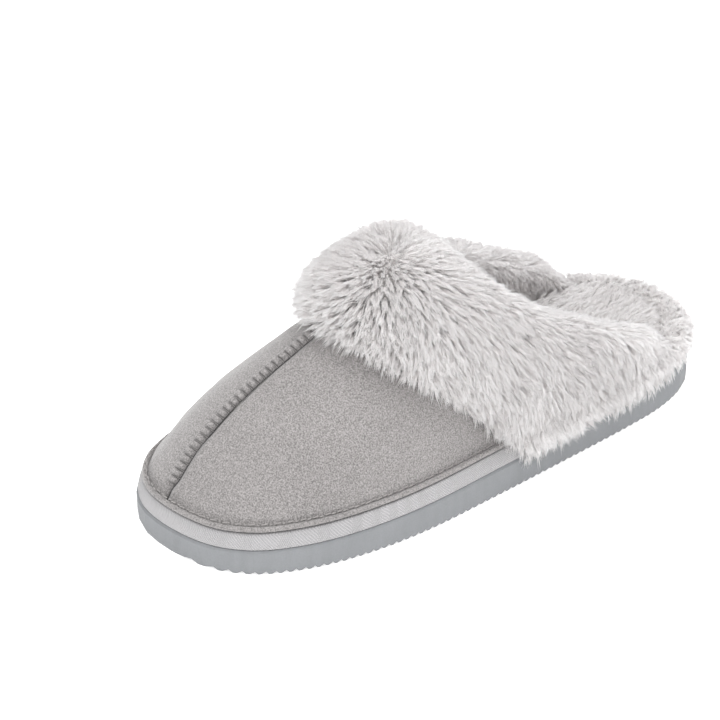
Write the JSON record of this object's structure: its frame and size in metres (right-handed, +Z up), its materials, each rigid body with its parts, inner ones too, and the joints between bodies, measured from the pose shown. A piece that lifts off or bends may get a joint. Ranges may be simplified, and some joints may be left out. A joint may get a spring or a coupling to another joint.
{
  "type": "fluffy house slipper",
  "caption": "Left slip-on house slipper: suede toe with a raised centre seam, thick fluffy fur collar round an open heel, fabric-wrapped platform and ribbed moulded sole.",
  "frame": {"origin": "middle of the sole's outline, on the floor the tread stands on", "axes": "+Y from the toe to the heel, +Z up, +X to the outer (lateral) side of the left foot"},
  "size_m": [0.1045, 0.263, 0.1068],
  "materials": {
    "eva_outsole": "smooth moulded EVA foam, matte blue-grey",
    "band_fabric": "fine diagonal twill, light grey",
    "suede": "fine-napped suede, matte, warm grey",
    "faux_fur": "long fluffy pile, very light warm grey",
    "white_foam": "soft open-cell foam, hidden inside",
    "fibreboard": "pressed cellulose board, hidden inside",
    "thread": "twisted polyester thread, matte"
  },
  "bodies": {
    "root": {"outsole": "eva_outsole", "sole_wrap_band": "band_fabric", "midsole_platform": "white_foam", "insole_board": "fibreboard", "memory_foam_pad": "white_foam", "plush_footbed": "faux_fur", "vamp_panel_lateral": "suede", "vamp_panel_medial": "suede", "vamp_foam_lateral": "white_foam", "vamp_foam_medial": "white_foam", "vamp_lining": "faux_fur", "collar_padding_lateral": "white_foam", "collar_padding_medial": "white_foam", "cuff_fur": "faux_fur", "collar_fur_lateral": "faux_fur", "collar_fur_medial": "faux_fur", "heel_fur": "faux_fur", "heel_padding": "white_foam", "vamp_edge_piping": "suede", "vamp_edge_thread": "thread", "centre_seam_welt": "suede", "centre_seam_thread": "thread"}
  },
  "joints": []
}
